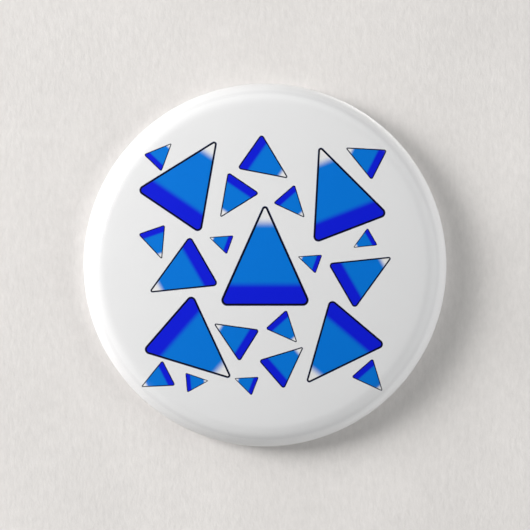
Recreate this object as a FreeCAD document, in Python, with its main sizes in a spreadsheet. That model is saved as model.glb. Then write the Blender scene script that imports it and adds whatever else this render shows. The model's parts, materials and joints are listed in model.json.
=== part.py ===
import FreeCAD, Part

# Pin-back button badge, two and a quarter inches across.
#
# Frame, in millimetres: the badge hangs as it is worn. +Z is up, the printed face looks along -Y
# and the back looks along +Y. The origin is the centre of the flat back rim, in the rim's plane.
#
# The face is three skins of constant thickness that follow one outline: clear film, printed paper
# and the tinplate shell. Film and paper are pulled round the shell's lip and tucked in over the
# flange of the back plate. The back plate carries the spring pin, which is bent from one wire and
# is split into its fixed leg, its coil and its swinging needle.

import math
import os
import re

import Sketcher

# Every size that can be set by itself: name, value, what it is.
SIZES = [
    ("badge_radius", 28.575, "outer radius of the badge, half of 2 1/4 inches"),
    ("crown_radius", 160.0, "radius of the gently domed face"),
    ("shoulder_radius", 4.35, "outer radius where the face turns into the side"),
    ("side_height", 0.2, "straight stretch of the side between shoulder and rim"),
    ("rim_radius", 1.0, "outer radius where the side turns into the back rim"),
    ("lip_length", 1.2, "flat width of the back rim, inside its rounded edge"),
    ("tuck_length", 1.0, "how far film and paper reach back over the flange"),
    ("film_thickness", 0.1, "clear polyester film"),
    ("paper_thickness", 0.12, "printed paper"),
    ("shell_thickness", 0.25, "tinplate of the front shell"),
    ("skin_gap", 0.02, "air left between two skins that lie on each other"),
    ("plate_thickness", 0.25, "tinplate of the back plate"),
    ("ring_gap", 0.1, "between the folded film and the back plate's raised ring"),
    ("ring_radius", 0.45, "outer edge radius of the raised ring"),
    ("ring_inset", 0.12, "how far the raised ring stays inside the rim plane"),
    ("ring_foot_radius", 0.2, "bend between the raised ring and the flange"),
    ("ring_width", 0.8, "flat top of the raised ring"),
    ("ring_inner_radius", 0.8, "inner edge radius of the raised ring"),
    ("flange_width", 1.8, "flange trapped under the lip, from the raised ring outwards"),
    ("recess_depth", 2.8, "floor of the pin recess below the rim plane"),
    ("recess_slope", 65.0, "slope of the recess wall, in degrees"),
    ("recess_radius", 1.0, "bend between the recess floor and its wall"),
    ("wire_radius", 0.45, "radius of the spring pin's wire"),
    ("pin_lift", 0.02, "air between the wire and what it lies on"),
    ("coil_radius", 2.2, "radius of the coil, to the middle of the wire"),
    ("coil_gap", 0.1, "air between one turn of the coil and the next"),
    ("coil_turns", 1.5, "turns of the coil, a whole number and a half"),
    ("coil_offset", 17.0, "coil axis from the middle of the badge, sideways"),
    ("coil_height", 4.0, "coil axis above the middle of the badge"),
    ("leg_length", 17.5, "straight stretch of the fixed leg"),
    ("leg_bend_radius", 1.1, "bend of the fixed leg into the plate"),
    ("leg_end_length", 0.9, "straight end of the fixed leg behind the plate"),
    ("leg_hole_gap", 0.12, "room of the leg's bent end in its slot, all round"),
    ("strap_offset", 6.0, "first strap from the coil axis, along the leg"),
    ("strap_spacing", 8.0, "from the first strap to the second"),
    ("strap_width", 2.4, "width of a strap along the leg"),
    ("strap_gap", 0.06, "room between the leg and a strap"),
    ("strap_slope", 60.0, "slope of a strap's sides, in degrees"),
    ("strap_bend_radius", 0.25, "inner bend radius of straps and hook"),
    ("lance_gap", 0.2, "width of the cuts beside a strap or the hook"),
    ("needle_root_length", 2.6, "straight stretch of the needle beside the coil"),
    ("needle_bend_radius", 14.0, "bend from there into the needle's long run"),
    ("needle_slope", 1.4, "slope of the long run towards the plate, in degrees"),
    ("needle_run_length", 26.6, "full-thickness stretch of the long run"),
    ("needle_point_length", 5.5, "tapered point of the needle"),
    ("needle_tip_radius", 0.06, "rounding of the very tip"),
    ("hook_reach", 1.9, "middle of the hook past the start of the taper"),
    ("hook_width", 3.0, "width of the hook along the needle"),
    ("hook_gap", 0.3, "room round the needle inside the hook"),
    ("hook_cover", 0.55, "how far the hook's roof reaches past the needle's middle"),
    ("hook_lip_turn", 30.0, "upward turn of the hook's lip, in degrees"),
    ("hook_lip_length", 0.45, "straight stretch of the hook's lip"),
]

doc = FreeCAD.newDocument("ButtonBadge")
sheet = doc.addObject("Spreadsheet::Sheet", "Sizes")
for row, (alias, number, meaning) in enumerate(SIZES, start=1):
    sheet.set(f"A{row}", alias)
    sheet.set(f"B{row}", str(number))
    sheet.set(f"C{row}", meaning)
    sheet.setAlias(f"B{row}", alias)
doc.recompute()


ALIASES = {alias for alias, number, meaning in SIZES}


def bound(text):
    """An expression over the sheet's names, ready for setExpression."""
    return re.sub(r"\b[a-z]\w*", lambda m: f"Sizes.{m[0]}" if m[0] in ALIASES else m[0], text)


def value(text):
    """What an expression over the sheet's names comes to, as a number."""
    found = sheet.evalExpression(bound(text))
    return float(getattr(found, "Value", found))


# Lengths and levels that several pieces share, as expressions over the sheet.
PAPER_INSET = "(film_thickness + skin_gap)"
SHELL_INSET = "(film_thickness + paper_thickness + 2 * skin_gap)"
FOLD_RADIUS = f"({SHELL_INSET} + shell_thickness / 2)"
FOLD_CENTRE = "(badge_radius - rim_radius - lip_length)"
CROWN_TURN = "asin((badge_radius - shoulder_radius) / (crown_radius - shoulder_radius))"
CROWN_DROP = f"(crown_radius - (crown_radius - shoulder_radius) * cos({CROWN_TURN}))"
FACE_DEPTH = f"({CROWN_DROP} + side_height + rim_radius)"

FLANGE_LEVEL = f"(-2 * {FOLD_RADIUS} - skin_gap)"
RING_WALL = f"({FOLD_CENTRE} - {FOLD_RADIUS} - ring_gap)"

LEG_LEVEL = "(-recess_depth + pin_lift + wire_radius)"
LEG_HEIGHT = "(coil_height - coil_radius)"
COIL_PITCH = "(2 * wire_radius + coil_gap)"
COIL_TOP = f"({LEG_LEVEL} + coil_turns * {COIL_PITCH})"
NEEDLE_HEIGHT = "(coil_height + coil_radius)"
NEEDLE_START = "(-coil_offset + needle_root_length + needle_bend_radius * sin(needle_slope * 1deg))"
NEEDLE_LEVEL = f"({COIL_TOP} - needle_bend_radius * (1 - cos(needle_slope * 1deg)))"
HOOK_ALONG = "(needle_run_length + hook_reach)"
HOOK_PLACE = f"({NEEDLE_START} + {HOOK_ALONG} * cos(needle_slope * 1deg))"
NEEDLE_AT_HOOK = f"({NEEDLE_LEVEL} - {HOOK_ALONG} * sin(needle_slope * 1deg))"
LEG_BEND_START = "(-coil_offset + leg_length)"
LEG_END = f"({LEG_BEND_START} + leg_bend_radius)"


# --- Drawing helpers ---------------------------------------------------------------------------


def new_body(label):
    body = doc.addObject("PartDesign::Body", "".join(w.capitalize() for w in label.split("_")))
    body.Label = label
    return body


def new_sketch(body, role, name, along=None):
    """A sketch on one of the body's own origin planes, moved off it by the expression along."""
    sketch = body.newObject("Sketcher::SketchObject", name)
    plane = next(f for f in body.Origin.OriginFeatures if f.Role == role)
    sketch.AttachmentSupport = [(plane, "")]
    sketch.MapMode = "FlatFace"
    if along is not None:
        sketch.setExpression("AttachmentOffset.Base.z", bound(along))
    return sketch


def add_size(sketch, kind, where, text):
    """A driving size in a sketch, bound to the sheet."""
    number = value(text)
    unit = "mm"
    if kind == "Angle":
        number = math.radians(number)
        unit = "deg"
    index = sketch.addConstraint(Sketcher.Constraint(kind, *where, number))
    sketch.setExpression(f"Constraints[{index}]", bound(f"({text}) * 1{unit}"))


def add_rule(sketch, kind, *where):
    """A rule in a sketch that has no size, such as Tangent or Horizontal."""
    sketch.addConstraint(Sketcher.Constraint(kind, *where))


def rounded(sketch, centre, radius, low, high):
    """An arc from the angle low to the angle high, in radians, drawn in a sketch."""
    circle = Part.Circle(FreeCAD.Vector(*centre, 0), FreeCAD.Vector(0, 0, 1), radius)
    return sketch.addGeometry(Part.ArcOfCircle(circle, low, high))


def straight(sketch, start, end):
    """A straight line between two points, drawn in a sketch."""
    points = [FreeCAD.Vector(x, y, 0) for x, y in (start, end)]
    return sketch.addGeometry(Part.LineSegment(*points))


class SheetSection:
    """The section through a bent sheet: a chain of tangent lines and arcs, and its parallel chain.

    side is 1 when the sheet's thickness lies to the left of the way the chain is drawn, -1 when
    it lies to the right.
    """

    def __init__(self, sketch, start, heading, thickness, side):
        self.sketch = sketch
        self.at = [value(start[0]), value(start[1])]
        self.heading = heading
        self.thickness = thickness
        self.side = side
        self.pieces = []

    def _ahead(self):
        turn = math.radians(self.heading)
        return math.cos(turn), math.sin(turn)

    def _beside(self, point, heading):
        """The point across the thickness from one on the chain."""
        turn = math.radians(heading)
        thickness = self.side * value(self.thickness)
        return (point[0] - thickness * math.sin(turn), point[1] + thickness * math.cos(turn))

    def line(self, length, lies=None):
        """A straight stretch. lies is Horizontal or Vertical, or left out when its ends place it."""
        ahead = self._ahead()
        start = tuple(self.at)
        reach = value(length)
        self.at = [self.at[0] + ahead[0] * reach, self.at[1] + ahead[1] * reach]
        outer = straight(self.sketch, start, self.at)
        beside = [self._beside(point, self.heading) for point in (start, self.at)]
        inner = straight(self.sketch, *beside)
        if lies:
            add_rule(self.sketch, lies, outer)
        add_rule(self.sketch, "Parallel", outer, inner)
        self.pieces.append((outer, inner, 1, 2))
        return outer

    def arc(self, radius, turn):
        """A bend through turn degrees, to the left when turn is positive."""
        sign = 1 if turn > 0 else -1
        reach = value(radius)
        ahead = self._ahead()
        centre = (self.at[0] - sign * ahead[1] * reach, self.at[1] + sign * ahead[0] * reach)
        first = math.radians(self.heading - sign * 90)
        last = first + math.radians(turn)
        low, high = min(first, last), max(first, last)
        beside = reach - sign * self.side * value(self.thickness)
        outer = rounded(self.sketch, centre, reach, low, high)
        inner = rounded(self.sketch, centre, beside, low, high)
        self.at = [centre[0] + reach * math.cos(last), centre[1] + reach * math.sin(last)]
        self.heading += turn
        add_rule(self.sketch, "Coincident", outer, 3, inner, 3)
        add_size(self.sketch, "Radius", (outer,), radius)
        self.pieces.append((outer, inner, 1, 2) if sign > 0 else (outer, inner, 2, 1))
        return outer

    def close(self):
        """Join the stretches, cap both ends across the thickness and size the thickness."""
        for (a, a_beside, _, leave), (b, b_beside, enter, _) in zip(self.pieces, self.pieces[1:]):
            add_rule(self.sketch, "Tangent", a, leave, b, enter)
            add_rule(self.sketch, "Tangent", a_beside, leave, b_beside, enter)
        ends = [(self.pieces[0], self.pieces[0][2]), (self.pieces[-1], self.pieces[-1][3])]
        caps = []
        for (outer, inner, _, _), end in ends:
            points = [self.sketch.getPoint(g, end) for g in (outer, inner)]
            cap = self.sketch.addGeometry(Part.LineSegment(*points))
            add_rule(self.sketch, "Coincident", cap, 1, outer, end)
            add_rule(self.sketch, "Coincident", cap, 2, inner, end)
            caps.append(cap)
        add_size(self.sketch, "Distance", (caps[0],), self.thickness)
        return caps


def revolve(body, sketch, name, axis="V_Axis"):
    feature = body.newObject("PartDesign::Revolution", name)
    feature.Profile = sketch
    feature.ReferenceAxis = (sketch, [axis])
    feature.Angle = 360
    return feature


def pad_across(body, sketch, name, width):
    """A pad of the sheet section, half of its width to each side of the sketch."""
    feature = body.newObject("PartDesign::Pad", name)
    feature.Profile = sketch
    feature.Midplane = True
    feature.setExpression("Length", bound(width))
    return feature


def place(body, along=None, back=None, up=None, turn=None, about=None):
    """Set a body down by expressions for its place and one turn about an axis."""
    for axis, text in zip("xyz", (along, back, up)):
        if text is not None:
            body.setExpression(f"Placement.Base.{axis}", bound(f"({text}) * 1mm"))
    if turn is not None:
        body.Placement.Rotation = FreeCAD.Rotation(FreeCAD.Vector(*about), value(turn))
        for axis, number in zip("xyz", about):
            body.setExpression(f"Placement.Rotation.Axis.{axis}", str(number))
        body.setExpression("Placement.Rotation.Angle", bound(f"({turn}) * 1deg"))


# --- The face: film, paper and shell -----------------------------------------------------------


def face_skin(label, inset, thickness, tucked):
    """One skin of the face, inset from the badge's outside. Film and paper are tucked in."""
    body = new_body(label)
    sketch = new_sketch(body, "XY_Plane", "Section")
    turn = value(CROWN_TURN)
    section = SheetSection(sketch, ("0", f"{inset} - {FACE_DEPTH}"), 0, thickness, 1)
    crown = section.arc(f"crown_radius - {inset}", turn)
    section.arc(f"shoulder_radius - {inset}", 90 - turn)
    side = section.line("side_height", "Vertical")
    section.arc(f"rim_radius - {inset}", 90)
    lip = section.line("lip_length", "Horizontal")
    if tucked:
        section.arc(f"{FOLD_RADIUS} - {inset}", 180)
        tuck = section.line("tuck_length", "Horizontal")
    caps = section.close()
    add_rule(sketch, "PointOnObject", crown, 3, -2)
    add_rule(sketch, "PointOnObject", crown, 1, -2)
    add_rule(sketch, "Vertical", caps[0])
    add_size(sketch, "DistanceX", (-1, 1, side, 2), f"badge_radius - {inset}")
    add_size(sketch, "DistanceY", (side, 1, side, 2), "side_height")
    add_size(sketch, "DistanceY", (lip, 1, -1, 1), inset)
    add_size(sketch, "DistanceX", (lip, 2, lip, 1), "lip_length")
    if tucked:
        add_size(sketch, "DistanceX", (tuck, 1, tuck, 2), "tuck_length")
    add_rule(sketch, "Perpendicular", caps[1], tuck if tucked else lip)
    revolve(body, sketch, "Skin")
    return body


# --- The back plate ----------------------------------------------------------------------------


def plate_disc(body):
    """The pressed disc: recess floor, recess wall, raised ring and flange."""
    sketch = new_sketch(body, "XY_Plane", "Section")
    slope = value("recess_slope")
    fall = "(recess_depth - ring_inset)"
    curved = "((recess_radius + ring_inner_radius) * (1 - cos(recess_slope * 1deg)))"
    wall = f"(({fall} - {curved}) / sin(recess_slope * 1deg))"
    ring_inner = f"({RING_WALL} - ring_radius - ring_width)"
    bends = "((recess_radius + ring_inner_radius) * sin(recess_slope * 1deg))"
    floor = f"({ring_inner} - {bends} - {wall} * cos(recess_slope * 1deg))"
    drop = f"(-ring_inset - ring_radius - ring_foot_radius - {FLANGE_LEVEL})"
    section = SheetSection(sketch, ("0", "-recess_depth"), 0, "plate_thickness", -1)
    bottom = section.line(floor, "Horizontal")
    section.arc("recess_radius", slope)
    steep = section.line(wall)
    section.arc("ring_inner_radius", -slope)
    top = section.line("ring_width", "Horizontal")
    section.arc("ring_radius", -90)
    upright = section.line(drop, "Vertical")
    section.arc("ring_foot_radius", 90)
    flange = section.line("flange_width", "Horizontal")
    caps = section.close()
    add_rule(sketch, "PointOnObject", bottom, 1, -2)
    add_rule(sketch, "PointOnObject", caps[0], 2, -2)
    add_size(sketch, "DistanceY", (bottom, 1, -1, 1), "recess_depth")
    add_size(sketch, "Angle", (steep,), "recess_slope")
    add_size(sketch, "DistanceY", (top, 1, -1, 1), "ring_inset")
    add_size(sketch, "DistanceX", (top, 1, top, 2), "ring_width")
    add_size(sketch, "DistanceX", (-1, 1, upright, 1), RING_WALL)
    add_size(sketch, "DistanceY", (flange, 1, -1, 1), f"-{FLANGE_LEVEL}")
    add_size(sketch, "DistanceX", (flange, 1, flange, 2), "flange_width")
    add_rule(sketch, "Perpendicular", caps[1], flange)
    return revolve(body, sketch, "Disc")


def rectangle(sketch, left, right, low, high):
    """A rectangle whose four sides are placed from the origin by expressions."""
    xs = (value(left), value(right))
    ys = (value(low), value(high))
    corners = [(xs[0], ys[0]), (xs[1], ys[0]), (xs[1], ys[1]), (xs[0], ys[1])]
    sides = [straight(sketch, a, b) for a, b in zip(corners, corners[1:] + corners[:1])]
    for a, b in zip(sides, sides[1:] + sides[:1]):
        add_rule(sketch, "Coincident", a, 2, b, 1)
    for side, lies in zip(sides, ("Horizontal", "Vertical", "Horizontal", "Vertical")):
        add_rule(sketch, lies, side)
    add_size(sketch, "DistanceX", (-1, 1, sides[0], 1), left)
    add_size(sketch, "DistanceX", (-1, 1, sides[0], 2), right)
    add_size(sketch, "DistanceY", (-1, 1, sides[0], 1), low)
    add_size(sketch, "DistanceY", (-1, 1, sides[2], 1), high)


def slot(sketch, left, right, middle, half_width):
    """A round-ended slot along the sketch's first axis, between the centres of its two ends."""
    xs = (value(left), value(right))
    level, reach = value(middle), value(half_width)
    ends = [
        rounded(sketch, (x, level), reach, first, first + math.pi)
        for x, first in zip(xs, (math.pi / 2, -math.pi / 2))
    ]
    sides = [straight(sketch, (xs[0], y), (xs[1], y)) for y in (level - reach, level + reach)]
    add_rule(sketch, "Tangent", ends[0], 2, sides[0], 1)
    add_rule(sketch, "Tangent", sides[0], 2, ends[1], 1)
    add_rule(sketch, "Tangent", ends[1], 2, sides[1], 2)
    add_rule(sketch, "Tangent", sides[1], 1, ends[0], 1)
    for side in sides:
        add_rule(sketch, "Horizontal", side)
    add_size(sketch, "Radius", (ends[0],), half_width)
    add_size(sketch, "DistanceX", (-1, 1, ends[0], 3), left)
    add_size(sketch, "DistanceX", (-1, 1, ends[1], 3), right)
    add_size(sketch, "DistanceY", (-1, 1, ends[0], 3), middle)


STRAP_RISE = "(2 * wire_radius + pin_lift + strap_gap + plate_thickness)"
STRAP_BENDS = "(2 * strap_bend_radius + plate_thickness)"
STRAP_SIDE = (
    f"(({STRAP_RISE} - {STRAP_BENDS} * (1 - cos(strap_slope * 1deg))) / sin(strap_slope * 1deg))"
)
STRAP_TOP = "(2 * (wire_radius + strap_gap))"
STRAP_HALF_SPAN = (
    f"({STRAP_TOP} / 2 + {STRAP_BENDS} * sin(strap_slope * 1deg)"
    f" + {STRAP_SIDE} * cos(strap_slope * 1deg))"
)
HOOK_ROOF = f"({NEEDLE_AT_HOOK} + wire_radius + hook_gap + plate_thickness)"
HOOK_WALL = f"({NEEDLE_HEIGHT} - wire_radius - hook_gap)"
HOOK_ROOF_LENGTH = "(wire_radius + hook_gap + hook_cover - strap_bend_radius)"
HOOK_BASE = f"({HOOK_WALL} - plate_thickness - strap_bend_radius)"
HOOK_RISE = f"({HOOK_ROOF} + recess_depth)"
HOOK_BLANK = f"({HOOK_RISE} + {HOOK_ROOF_LENGTH} + hook_lip_length)"


def strap(body, number, along):
    """A lanced strap: a bridge over the fixed leg, pressed out of the plate itself."""
    window = new_sketch(body, "XZ_Plane", f"StrapWindow{number}")
    rectangle(
        window,
        f"{along} - strap_width / 2 - lance_gap",
        f"{along} + strap_width / 2 + lance_gap",
        f"{LEG_HEIGHT} - {STRAP_HALF_SPAN}",
        f"{LEG_HEIGHT} + {STRAP_HALF_SPAN}",
    )
    cut_through(body, window, f"StrapCut{number}")
    slope = value("strap_slope")
    foot = "plate_thickness"
    sketch = new_sketch(body, "YZ_Plane", f"StrapSection{number}", along)
    start = ("-recess_depth", f"{LEG_HEIGHT} - {STRAP_HALF_SPAN} - {foot}")
    section = SheetSection(sketch, start, 90, "plate_thickness", 1)
    first = section.line(foot, "Vertical")
    section.arc("strap_bend_radius", -slope)
    rising = section.line(STRAP_SIDE)
    section.arc("strap_bend_radius + plate_thickness", slope)
    top = section.line(STRAP_TOP, "Vertical")
    section.arc("strap_bend_radius + plate_thickness", slope)
    falling = section.line(STRAP_SIDE)
    section.arc("strap_bend_radius", -slope)
    last = section.line(foot, "Vertical")
    caps = section.close()
    add_rule(sketch, "Perpendicular", caps[0], first)
    add_rule(sketch, "Perpendicular", caps[1], last)
    add_size(sketch, "DistanceX", (first, 1, -1, 1), "recess_depth")
    add_size(sketch, "DistanceX", (top, 1, -1, 1), f"recess_depth - {STRAP_RISE}")
    add_size(sketch, "DistanceX", (last, 2, -1, 1), "recess_depth")
    add_size(sketch, "DistanceY", (top, 1, top, 2), STRAP_TOP)
    add_size(sketch, "DistanceY", (-1, 1, top, 1), f"{LEG_HEIGHT} - {STRAP_TOP} / 2")
    add_size(sketch, "DistanceY", (first, 1, first, 2), foot)
    add_size(sketch, "DistanceY", (last, 1, last, 2), foot)
    add_size(sketch, "Angle", (rising,), "90 - strap_slope")
    add_size(sketch, "Angle", (falling,), "90 + strap_slope")
    pad_across(body, sketch, f"Strap{number}", "strap_width")


def hook(body):
    """A lanced hook over the needle's point. Its mouth looks up, the way the needle swings."""
    window = new_sketch(body, "XZ_Plane", "HookWindow")
    rectangle(
        window,
        f"{HOOK_PLACE} - hook_width / 2 - lance_gap",
        f"{HOOK_PLACE} + hook_width / 2 + lance_gap",
        HOOK_BASE,
        f"{HOOK_BASE} + {HOOK_BLANK}",
    )
    cut_through(body, window, "HookCut")
    foot = "plate_thickness"
    sketch = new_sketch(body, "YZ_Plane", "HookSection", HOOK_PLACE)
    start = ("-recess_depth", f"{HOOK_BASE} - {foot}")
    section = SheetSection(sketch, start, 90, "plate_thickness", 1)
    first = section.line(foot, "Vertical")
    section.arc("strap_bend_radius", -90)
    wall = section.line(f"{HOOK_RISE} - 2 * strap_bend_radius - plate_thickness", "Horizontal")
    section.arc("strap_bend_radius + plate_thickness", 90)
    roof = section.line(HOOK_ROOF_LENGTH, "Vertical")
    section.arc("strap_bend_radius", -value("hook_lip_turn"))
    lip = section.line("hook_lip_length")
    caps = section.close()
    add_rule(sketch, "Perpendicular", caps[0], first)
    add_rule(sketch, "Perpendicular", caps[1], lip)
    add_size(sketch, "DistanceX", (first, 1, -1, 1), "recess_depth")
    add_size(sketch, "DistanceY", (-1, 1, first, 2), HOOK_BASE)
    add_size(sketch, "DistanceY", (first, 1, first, 2), foot)
    add_size(sketch, "DistanceX", (roof, 1, -1, 1), f"-{HOOK_ROOF}")
    add_size(sketch, "DistanceY", (roof, 1, roof, 2), HOOK_ROOF_LENGTH)
    add_size(sketch, "Angle", (lip,), "90 - hook_lip_turn")
    add_size(sketch, "Distance", (lip,), "hook_lip_length")
    pad_across(body, sketch, "Hook", "hook_width")


def cut_through(body, sketch, name):
    """Cut a sketch on the back's plane through the plate, both ways."""
    before = body.Shape.Volume
    feature = body.newObject("PartDesign::Pocket", name)
    feature.Profile = sketch
    feature.Type = "ThroughAll"
    feature.Midplane = True
    doc.recompute()
    if not body.Shape.Volume < before:
        raise RuntimeError(f"{name} cuts nothing")
    return feature


def back_plate():
    body = new_body("back_plate")
    plate_disc(body)
    doc.recompute()
    for number in (1, 2):
        along = f"(-coil_offset + strap_offset + {number - 1} * strap_spacing)"
        strap(body, number, along)
        doc.recompute()
    hook(body)
    doc.recompute()
    hole = new_sketch(body, "XZ_Plane", "LegHole")
    half_width = "(wire_radius + leg_hole_gap)"
    slot(hole, f"{LEG_BEND_START} + wire_radius", LEG_END, LEG_HEIGHT, half_width)
    cut_through(body, hole, "LegHoleCut")
    return body


# --- The spring pin ----------------------------------------------------------------------------


def ring_at(sketch, centre, radius):
    """A full circle drawn in a sketch."""
    circle = Part.Circle(FreeCAD.Vector(*centre, 0), FreeCAD.Vector(0, 0, 1), value(radius))
    ring = sketch.addGeometry(circle)
    add_size(sketch, "Radius", (ring,), radius)
    return ring


def wire_circle(body, role, name):
    """The wire's round section, at the origin of one of the body's planes."""
    sketch = new_sketch(body, role, name)
    ring = ring_at(sketch, (0, 0), "wire_radius")
    add_rule(sketch, "Coincident", ring, 3, -1, 1)
    return sketch


def pipe(body, circle, route, name):
    feature = body.newObject("PartDesign::AdditivePipe", name)
    feature.Profile = circle
    feature.Spine = route
    return feature


def pin_anchor_leg():
    """The fixed leg, from the coil along the plate, bent through its hole in the plate."""
    body = new_body("pin_anchor_leg")
    circle = wire_circle(body, "YZ_Plane", "Wire")
    route = new_sketch(body, "XY_Plane", "Route")
    run, bend, tail = (value(n) for n in ("leg_length", "leg_bend_radius", "leg_end_length"))
    along = straight(route, (0, 0), (run, 0))
    corner = rounded(route, (run, -bend), bend, 0, math.pi / 2)
    end = straight(route, (run + bend, -bend), (run + bend, -bend - tail))
    add_rule(route, "Coincident", along, 1, -1, 1)
    add_rule(route, "Horizontal", along)
    add_rule(route, "Tangent", along, 2, corner, 2)
    add_rule(route, "Tangent", corner, 1, end, 1)
    add_rule(route, "Vertical", end)
    add_size(route, "Distance", (along,), "leg_length")
    add_size(route, "Radius", (corner,), "leg_bend_radius")
    add_size(route, "Distance", (end,), "leg_end_length")
    pipe(body, circle, route, "Leg")
    place(body, "-coil_offset", LEG_LEVEL, LEG_HEIGHT)
    return body


def pin_coil():
    """The coil, wound about the line out of the plate. Both its ends face along the pin."""
    body = new_body("pin_coil")
    sketch = new_sketch(body, "XZ_Plane", "Wire")
    ring = ring_at(sketch, (value("coil_radius"), 0), "wire_radius")
    add_rule(sketch, "PointOnObject", ring, 3, -1)
    add_size(sketch, "DistanceX", (-1, 1, ring, 3), "coil_radius")
    turns = body.newObject("PartDesign::AdditiveHelix", "Turns")
    turns.Profile = sketch
    turns.ReferenceAxis = (sketch, ["V_Axis"])
    turns.Mode = "pitch-turns-angle"
    turns.setExpression("Pitch", bound(f"{COIL_PITCH} * 1mm"))
    turns.setExpression("Turns", bound("coil_turns"))
    body.Placement.Rotation = FreeCAD.Rotation(
        FreeCAD.Vector(0, 0, -1), FreeCAD.Vector(-1, 0, 0), FreeCAD.Vector(0, 1, 0), "XYZ"
    )
    place(body, "-coil_offset", LEG_LEVEL, "coil_height")
    return body


def pin_needle():
    """The needle: a short root beside the coil, the long straight run and the tapered point."""
    body = new_body("pin_needle")
    sketch = new_sketch(body, "XY_Plane", "RunSection")
    run, point = value("needle_run_length"), value("needle_point_length")
    wire, tip = value("wire_radius"), value("needle_tip_radius")
    shank_end, nose_centre = (run, wire), (run + point - tip, 0)
    start = straight(sketch, (0, 0), (0, wire))
    shank = straight(sketch, (0, wire), shank_end)
    taper = straight(sketch, shank_end, (run + point - tip, tip))
    nose = rounded(sketch, nose_centre, tip, 0, math.pi / 2)
    axis = straight(sketch, (run + point, 0), (0, 0))
    add_rule(sketch, "Coincident", start, 1, -1, 1)
    add_rule(sketch, "Vertical", start)
    add_rule(sketch, "Coincident", start, 2, shank, 1)
    add_rule(sketch, "Horizontal", shank)
    add_rule(sketch, "Coincident", shank, 2, taper, 1)
    add_rule(sketch, "Coincident", taper, 2, nose, 2)
    add_rule(sketch, "PointOnObject", nose, 3, -1)
    add_rule(sketch, "Vertical", nose, 3, nose, 2)
    add_rule(sketch, "PointOnObject", nose, 1, -1)
    add_rule(sketch, "Coincident", nose, 1, axis, 1)
    add_rule(sketch, "Coincident", axis, 2, -1, 1)
    add_size(sketch, "DistanceY", (start, 1, start, 2), "wire_radius")
    add_size(sketch, "DistanceX", (shank, 1, shank, 2), "needle_run_length")
    add_size(sketch, "DistanceX", (-1, 1, nose, 1), "needle_run_length + needle_point_length")
    add_size(sketch, "Radius", (nose,), "needle_tip_radius")
    revolve(body, sketch, "Run", "H_Axis")

    lean = math.radians(value("needle_slope"))
    bend, root = value("needle_bend_radius"), value("needle_root_length")
    joint = (-bend * math.sin(lean), -bend * (1 - math.cos(lean)))
    far = (joint[0] - root * math.cos(lean), joint[1] - root * math.sin(lean))
    route = new_sketch(body, "XY_Plane", "RootRoute")
    curve = rounded(route, (0, -bend), bend, math.pi / 2, math.pi / 2 + lean)
    stub = straight(route, joint, far)
    add_rule(route, "Coincident", curve, 1, -1, 1)
    add_rule(route, "PointOnObject", curve, 3, -2)
    add_rule(route, "Tangent", curve, 2, stub, 1)
    add_size(route, "Radius", (curve,), "needle_bend_radius")
    add_size(route, "Distance", (stub,), "needle_root_length")
    add_size(route, "Angle", (stub,), "180 + needle_slope")
    circle = wire_circle(body, "YZ_Plane", "Wire")
    pipe(body, circle, route, "Root")
    place(body, NEEDLE_START, NEEDLE_LEVEL, NEEDLE_HEIGHT, "-needle_slope", (0, 0, 1))
    return body


# --- Build, check and write ---------------------------------------------------------------------

pieces = [
    face_skin("clear_film", "0", "film_thickness", True),
    face_skin("printed_paper", PAPER_INSET, "paper_thickness", True),
    face_skin("front_shell", SHELL_INSET, "shell_thickness", False),
    back_plate(),
    pin_anchor_leg(),
    pin_coil(),
    pin_needle(),
]
doc.recompute()

for thing in doc.Objects:
    if "Invalid" in thing.State or "Error" in thing.State:
        raise RuntimeError(f"{thing.Label} failed: {thing.State}")
for piece in pieces:
    if piece.Shape.isNull() or not piece.Shape.isValid():
        raise RuntimeError(f"{piece.Label} has no valid shape")
    if len(piece.Shape.Solids) != 1:
        raise RuntimeError(f"{piece.Label} is {len(piece.Shape.Solids)} solids, not one")

os.makedirs("parts", exist_ok=True)
for piece in pieces:
    piece.Shape.exportStep(f"parts/{piece.Label}.step")
    box = piece.Shape.BoundBox
    print(
        f"{piece.Label:16s} volume {piece.Shape.Volume:9.3f}"
        f"  x {box.XMin:7.2f} {box.XMax:7.2f}"
        f"  y {box.YMin:7.2f} {box.YMax:7.2f}"
        f"  z {box.ZMin:7.2f} {box.ZMax:7.2f}"
    )
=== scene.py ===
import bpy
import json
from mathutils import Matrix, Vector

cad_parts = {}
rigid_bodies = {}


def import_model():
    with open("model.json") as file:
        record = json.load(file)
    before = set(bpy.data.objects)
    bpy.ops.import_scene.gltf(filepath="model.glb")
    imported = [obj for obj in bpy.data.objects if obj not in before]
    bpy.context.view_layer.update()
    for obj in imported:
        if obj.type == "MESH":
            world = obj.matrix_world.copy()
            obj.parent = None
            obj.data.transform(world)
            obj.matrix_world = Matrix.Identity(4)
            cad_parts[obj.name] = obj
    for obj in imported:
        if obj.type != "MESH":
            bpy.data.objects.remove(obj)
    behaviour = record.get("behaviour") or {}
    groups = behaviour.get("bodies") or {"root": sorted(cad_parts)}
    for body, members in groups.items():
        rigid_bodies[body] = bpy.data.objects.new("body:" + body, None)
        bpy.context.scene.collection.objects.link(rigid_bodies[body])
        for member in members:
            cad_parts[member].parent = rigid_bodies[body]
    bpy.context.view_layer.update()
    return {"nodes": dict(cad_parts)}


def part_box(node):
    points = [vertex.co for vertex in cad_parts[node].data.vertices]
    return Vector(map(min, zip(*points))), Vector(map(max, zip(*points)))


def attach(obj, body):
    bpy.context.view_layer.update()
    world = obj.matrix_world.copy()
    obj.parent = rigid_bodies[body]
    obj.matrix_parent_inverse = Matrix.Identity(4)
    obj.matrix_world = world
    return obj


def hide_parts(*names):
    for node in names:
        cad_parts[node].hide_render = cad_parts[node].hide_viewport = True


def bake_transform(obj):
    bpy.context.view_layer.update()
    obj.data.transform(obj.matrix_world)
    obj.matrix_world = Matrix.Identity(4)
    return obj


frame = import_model()

import json
import math

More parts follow.
